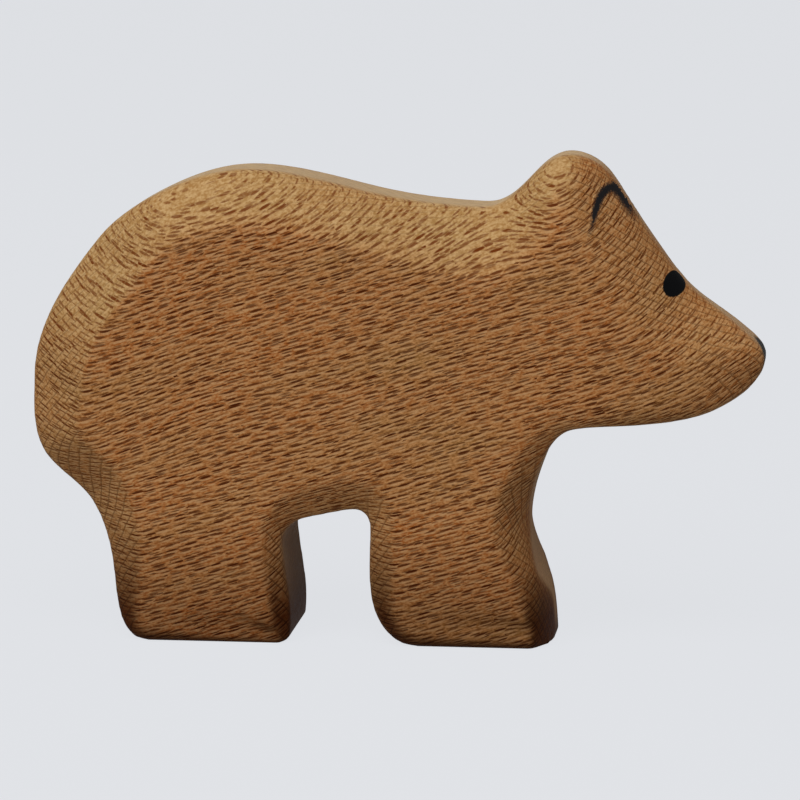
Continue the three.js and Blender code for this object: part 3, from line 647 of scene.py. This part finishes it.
def paintDab():
    tree, given = newTree("paintDab", {
        **markSockets, "Centre": "Vector", "Half length": "Vector", "Half width": "Vector", "Steps": "Int"})
    grid = addNode(tree, "GeometryNodeMeshGrid", {
        "Size X": 2.0, "Size Y": 2.0, "Vertices X": given["Steps"], "Vertices Y": given["Steps"]})
    place = addNode(tree, "GeometryNodeInputPosition")
    uv = addNode(tree, "ShaderNodeSeparateXYZ", {0: place.outputs[0]})
    # The square grid becomes a disc: each side is shortened to x times the root of 1 - y squared / 2
    disc = addNode(tree, "ShaderNodeCombineXYZ")
    for own, other in (("X", "Y"), ("Y", "X")):
        square = addNode(tree, "ShaderNodeMath", {
            0: uv.outputs[other], 1: uv.outputs[other]}, operation="MULTIPLY")
        rest = addNode(tree, "ShaderNodeMath", {
            0: square.outputs[0], 1: -0.5, 2: 1.0}, operation="MULTIPLY_ADD")
        share = addNode(tree, "ShaderNodeMath", {0: rest.outputs[0]}, operation="SQRT")
        side = addNode(tree, "ShaderNodeMath", {
            0: uv.outputs[own], 1: share.outputs[0]}, operation="MULTIPLY")
        tree.links.new(side.outputs[0], disc.inputs[own])
    outer = addNode(tree, "ShaderNodeVectorMath", {0: disc.outputs["Vector"]}, operation="LENGTH")
    cover = addNode(tree, "ShaderNodeMath", {0: 1.0, 1: outer.outputs["Value"]}, operation="SUBTRACT")
    covered = addNode(tree, "GeometryNodeStoreNamedAttribute", {
        "Geometry": grid.outputs["Mesh"], "Name": "cover", "Value": cover.outputs[0]})
    discParts = addNode(tree, "ShaderNodeSeparateXYZ", {0: disc.outputs["Vector"]})
    along = addNode(tree, "ShaderNodeVectorMath", {
        0: given["Half length"], "Scale": discParts.outputs["X"]}, operation="SCALE")
    sideways = addNode(tree, "ShaderNodeVectorMath", {
        0: given["Half width"], "Scale": discParts.outputs["Y"]}, operation="SCALE")
    spread = addNode(tree, "ShaderNodeVectorMath", {
        0: along.outputs["Vector"], 1: sideways.outputs["Vector"]}, operation="ADD")
    spot = addNode(tree, "ShaderNodeVectorMath", {
        0: spread.outputs["Vector"], 1: given["Centre"]}, operation="ADD")
    patch = addNode(tree, "GeometryNodeSetPosition", {
        "Geometry": covered.outputs["Geometry"], "Position": spot.outputs["Vector"]})
    return layOnWood(tree, given, patch.outputs["Geometry"])


def brushStroke():
    tree, given = newTree("brushStroke", {
        **markSockets, "Path": "Object", "Stand off": "Vector", "Width": "Float", "End width": "Float",
        "Pressure": "Float", "Fade": "Float", "Steps along": "Int", "Steps across": "Int"})
    grid = addNode(tree, "GeometryNodeMeshGrid", {
        "Size X": 2.0, "Size Y": 1.0,
        "Vertices X": given["Steps across"], "Vertices Y": given["Steps along"]})
    place = addNode(tree, "GeometryNodeInputPosition")
    uv = addNode(tree, "ShaderNodeSeparateXYZ", {0: place.outputs[0]})
    share = addNode(tree, "ShaderNodeMath", {0: uv.outputs["Y"], 1: 0.5}, operation="ADD")
    fromMiddle = addNode(tree, "ShaderNodeMath", {0: uv.outputs["X"]}, operation="ABSOLUTE")
    inside = addNode(tree, "ShaderNodeMath", {0: 1.0, 1: fromMiddle.outputs[0]}, operation="SUBTRACT")
    fromHalfway = addNode(tree, "ShaderNodeMath", {0: uv.outputs["Y"]}, operation="ABSOLUTE")
    ends = addNode(tree, "ShaderNodeMapRange", {
        "Value": fromHalfway.outputs[0], "From Min": 0.5, "From Max": given["Fade"]})
    cover = addNode(tree, "ShaderNodeMath", {
        0: inside.outputs[0], 1: ends.outputs["Result"]}, operation="MULTIPLY")
    covered = addNode(tree, "GeometryNodeStoreNamedAttribute", {
        "Geometry": grid.outputs["Mesh"], "Name": "cover", "Value": cover.outputs[0]})

    path = addNode(tree, "GeometryNodeObjectInfo", {"Object": given["Path"]})
    sample = addNode(tree, "GeometryNodeSampleCurve", {
        "Curves": path.outputs["Geometry"], "Factor": share.outputs[0]}, mode="FACTOR", use_all_curves=True)
    sideways = addNode(tree, "ShaderNodeVectorMath", {
        0: sample.outputs["Tangent"], 1: (0, 1, 0)}, operation="CROSS_PRODUCT")
    later = addNode(tree, "ShaderNodeMath", {
        0: share.outputs[0], 1: given["Pressure"]}, operation="POWER")
    turn = addNode(tree, "ShaderNodeMath", {0: later.outputs[0], 1: math.pi}, operation="MULTIPLY")
    press = addNode(tree, "ShaderNodeMath", {0: turn.outputs[0]}, operation="SINE")
    width = addNode(tree, "ShaderNodeMix", {
        0: press.outputs[0], numberFirst: given["End width"], numberSecond: given["Width"]},
        data_type="FLOAT")
    reach = addNode(tree, "ShaderNodeMath", {0: uv.outputs["X"], 1: width.outputs[0]}, operation="MULTIPLY")
    half = addNode(tree, "ShaderNodeMath", {0: reach.outputs[0], 1: 0.5}, operation="MULTIPLY")
    offset = addNode(tree, "ShaderNodeVectorMath", {
        0: sideways.outputs["Vector"], "Scale": half.outputs[0]}, operation="SCALE")
    onPath = addNode(tree, "ShaderNodeVectorMath", {
        0: sample.outputs["Position"], 1: offset.outputs["Vector"]}, operation="ADD")
    spot = addNode(tree, "ShaderNodeVectorMath", {
        0: onPath.outputs["Vector"], 1: given["Stand off"]}, operation="ADD")
    patch = addNode(tree, "GeometryNodeSetPosition", {
        "Geometry": covered.outputs["Geometry"], "Position": spot.outputs["Vector"]})
    return layOnWood(tree, given, patch.outputs["Geometry"])


dabTree = paintDab()
strokeTree = brushStroke()


def facesOut(piece):
    work = bmesh.new()
    work.from_mesh(piece.data)
    bmesh.ops.recalc_face_normals(work, faces=work.faces)
    work.to_mesh(piece.data)
    work.free()
    return piece


def finishPiece(piece, node):
    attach(piece, "root")
    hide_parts(node)


# Eyes: a black dab on each side, a little taller than wide
eyeMark = {
    "lean": 80,  # degrees
    "length": 4.5,  # mm
    "width": 4.0,
    "ahead": 0.25,  # mm, from the middle of its node's box
    "standOff": 30,  # mm, where the wood is looked for from
    "lift": 4,  # mm, where the dab starts from
    "steps": 33,
}


def makeEye(sideName, side):
    low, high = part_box(sideName + "_eye")
    middle = (low + high) / 2
    start = Vector((middle.x + eyeMark["ahead"] * mm, side * eyeMark["standOff"] * mm, middle.z))
    _, spot, normal, _ = wood.ray_cast(start, (0, -side, 0))
    lean = math.radians(eyeMark["lean"])
    down = Vector((math.cos(lean), 0, -math.sin(lean))) * eyeMark["length"] * mm / 2
    ahead = Vector((math.sin(lean), 0, math.cos(lean))) * eyeMark["width"] * mm / 2
    down.y = -down.dot(normal) / normal.y  # both lie along the forehead
    ahead.y = -ahead.dot(normal) / normal.y
    eye = applyTree(newObject(sideName + "_eye_dab"), dabTree, {
        **paintFilm, "Wood": wood, "Paint": eyePaint, "Ray": -normal, "Steps": eyeMark["steps"],
        "Centre": spot + normal * eyeMark["lift"] * mm, "Half length": down, "Half width": ahead})
    finishPiece(facesOut(eye), sideName + "_eye")


# Ear lines: one brush stroke in the shape of an upturned U, given as shares of its node's box
earStroke = {
    "path": [
        (-0.06, -0.38), (0.08, 0.10), (0.15, 0.50), (0.26, 0.80), (0.44, 0.93),
        (0.62, 0.82), (0.80, 0.48), (1.05, -0.08)],
    "width": 2.7,  # mm
    "endWidth": 1.2,
    "pressure": 1.8,  # above 1 the brush presses hardest late in the stroke
    "fade": 0.2,  # share of the stroke on each side of its middle that doesn't thin out
    "standOff": 30,  # mm, where the stroke starts from
    "steps": (120, 17),  # along and across
}


def makeEarLine(sideName, side):
    low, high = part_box(sideName + "_ear_line")
    curve = bpy.data.curves.new(sideName + "_ear_path", "CURVE")
    curve.dimensions = "3D"
    spline = curve.splines.new("BEZIER")
    spline.bezier_points.add(len(earStroke["path"]) - 1)
    for point, (x, z) in zip(spline.bezier_points, earStroke["path"]):
        point.co = (low.x + x * (high.x - low.x), 0, low.z + z * (high.z - low.z))
        point.handle_left_type = point.handle_right_type = "AUTO"
    path = newObject(curve.name, curve)
    line = applyTree(newObject(sideName + "_ear_stroke"), strokeTree, {
        **paintFilm, "Wood": wood, "Paint": earPaint, "Ray": (0, -side, 0), "Path": path,
        "Stand off": (0, side * earStroke["standOff"] * mm, 0), "Width": earStroke["width"] * mm,
        "End width": earStroke["endWidth"] * mm, "Pressure": earStroke["pressure"],
        "Fade": earStroke["fade"], "Steps along": earStroke["steps"][0],
        "Steps across": earStroke["steps"][1]})
    bpy.data.objects.remove(path)
    finishPiece(facesOut(line), sideName + "_ear_line")


# Nose: dark paint on the tip of the snout, from lip to crown
noseMark = {
    "inset": 0.2,  # mm inside its node's box
    "standOff": 5,  # mm in front of it
    "steps": 41,
}


def makeNose():
    low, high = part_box("nose")
    middle, half = (low + high) / 2, (high - low) / 2
    nose = applyTree(newObject("nose_dab"), dabTree, {
        **paintFilm, "Wood": wood, "Paint": nosePaint, "Ray": (-1, 0, 0), "Steps": noseMark["steps"],
        "Centre": Vector((high.x + noseMark["standOff"] * mm, 0, middle.z)),
        "Half length": Vector((0, half.y - noseMark["inset"] * mm, 0)),
        "Half width": Vector((0, 0, half.z - noseMark["inset"] * mm))})
    finishPiece(facesOut(nose), "nose")


for sideName, side in (("right", -1), ("left", 1)):
    makeEye(sideName, side)
    makeEarLine(sideName, side)
makeNose()
finishPiece(wood, "bear_body")
print("paint: eyes, ear lines and nose laid on the wood")


# Camera at the photograph's angle
cameraView = {
    "azimuth": 6.5,  # degrees round from square on, towards the nose
    "elevation": 9,  # degrees
    "distance": 730,  # mm
    "perPixel": 0.164,  # mm of the figure to a pixel of the image
    "imageWidth": 800,  # pixels
    "aim": (-0.05, -0.19, -1.18),  # mm from the middle of the figure's box
    "clip": (0.01, 20),  # m
}


def makeCamera():
    camera = newObject("camera", bpy.data.cameras.new("camera"))
    scene.camera = camera
    azimuth, elevation = math.radians(cameraView["azimuth"]), math.radians(cameraView["elevation"])
    level = Vector((math.sin(azimuth), -math.cos(azimuth), 0))
    back = level * math.cos(elevation) + Vector((0, 0, math.sin(elevation)))
    target = (cadBox[0] + cadBox[1]) / 2 + Vector(cameraView["aim"]) * mm
    camera.location = target + back * cameraView["distance"] * mm
    camera.rotation_mode = "QUATERNION"
    camera.rotation_quaternion = (-back).to_track_quat("-Z", "Y")
    frameWidth = cameraView["perPixel"] * cameraView["imageWidth"]
    camera.data.lens = camera.data.sensor_width * cameraView["distance"] / frameWidth
    camera.data.clip_start, camera.data.clip_end = cameraView["clip"]


# Studio: a pale floor and backdrop, one big soft lamp overhead and a weak fill
studio = {
    "pale": "#dee0e4",
    "floorGlow": 1.035,  # makes up for what the shaded share takes from the floor
    "floorBounce": "#a4a4a4",  # what the floor gives back to the figure
    "shadowShare": 0.05,  # how much of the floor's look is lit and shaded
    "floorSide": 12,  # m
    "ambient": 0.165,
    "softbox": {"place": (-0.18, -0.74, 0.92), "side": 1.1, "power": 14.1},  # m and W
}


def seenRay(tree):
    path = addNode(tree, "ShaderNodeLightPath")
    gloss = addNode(tree, "ShaderNodeMath", {
        0: path.outputs["Is Glossy Ray"], 1: path.outputs["Is Transmission Ray"]}, operation="MAXIMUM")
    return addNode(tree, "ShaderNodeMath", {
        0: path.outputs["Is Camera Ray"], 1: gloss.outputs[0]}, operation="MAXIMUM").outputs[0]


def makeFloor():
    material, tree = newMaterial("floorPaleMatt")
    glow = addNode(tree, "ShaderNodeEmission", {
        "Color": srgb(studio["pale"]), "Strength": studio["floorGlow"]})
    lit = addNode(tree, "ShaderNodeBsdfDiffuse", {"Color": srgb(studio["pale"])})
    bounce = addNode(tree, "ShaderNodeBsdfDiffuse", {"Color": srgb(studio["floorBounce"])})
    look = addNode(tree, "ShaderNodeMixShader", {
        0: studio["shadowShare"], 1: glow.outputs[0], 2: lit.outputs[0]})
    surface = addNode(tree, "ShaderNodeMixShader", {
        0: seenRay(tree), 1: bounce.outputs[0], 2: look.outputs[0]})
    addNode(tree, "ShaderNodeOutputMaterial", {"Surface": surface.outputs[0]})
    half = studio["floorSide"] / 2
    mesh = bpy.data.meshes.new("floor")
    corners = [(-half, -half, 0), (half, -half, 0), (half, half, 0), (-half, half, 0)]
    mesh.from_pydata(corners, [], [(0, 1, 2, 3)])
    mesh.materials.append(material)
    floor = newObject("floor", mesh)
    floor.location.z = cadBox[0].z


def makeLight():
    world = bpy.data.worlds.new("paleStudio")
    world.use_nodes = True
    scene.world = world
    tree = world.node_tree
    tree.nodes.clear()
    ambient = addNode(tree, "ShaderNodeBackground", {"Color": (1, 1, 1, 1), "Strength": studio["ambient"]})
    backdrop = addNode(tree, "ShaderNodeBackground", {"Color": srgb(studio["pale"]), "Strength": 1.0})
    both = addNode(tree, "ShaderNodeMixShader", {
        0: seenRay(tree), 1: ambient.outputs[0], 2: backdrop.outputs[0]})
    addNode(tree, "ShaderNodeOutputWorld", {"Surface": both.outputs[0]})
    softbox = bpy.data.lights.new("softbox", "AREA")
    softbox.size = studio["softbox"]["side"]
    softbox.energy = studio["softbox"]["power"]
    lamp = newObject("softbox", softbox)
    lamp.location = studio["softbox"]["place"]
    lamp.rotation_mode = "QUATERNION"
    lamp.rotation_quaternion = (-lamp.location).to_track_quat("-Z", "Y")


makeCamera()
makeFloor()
makeLight()
scene.view_settings.view_transform = "Standard"
print("studio: camera, floor and light")
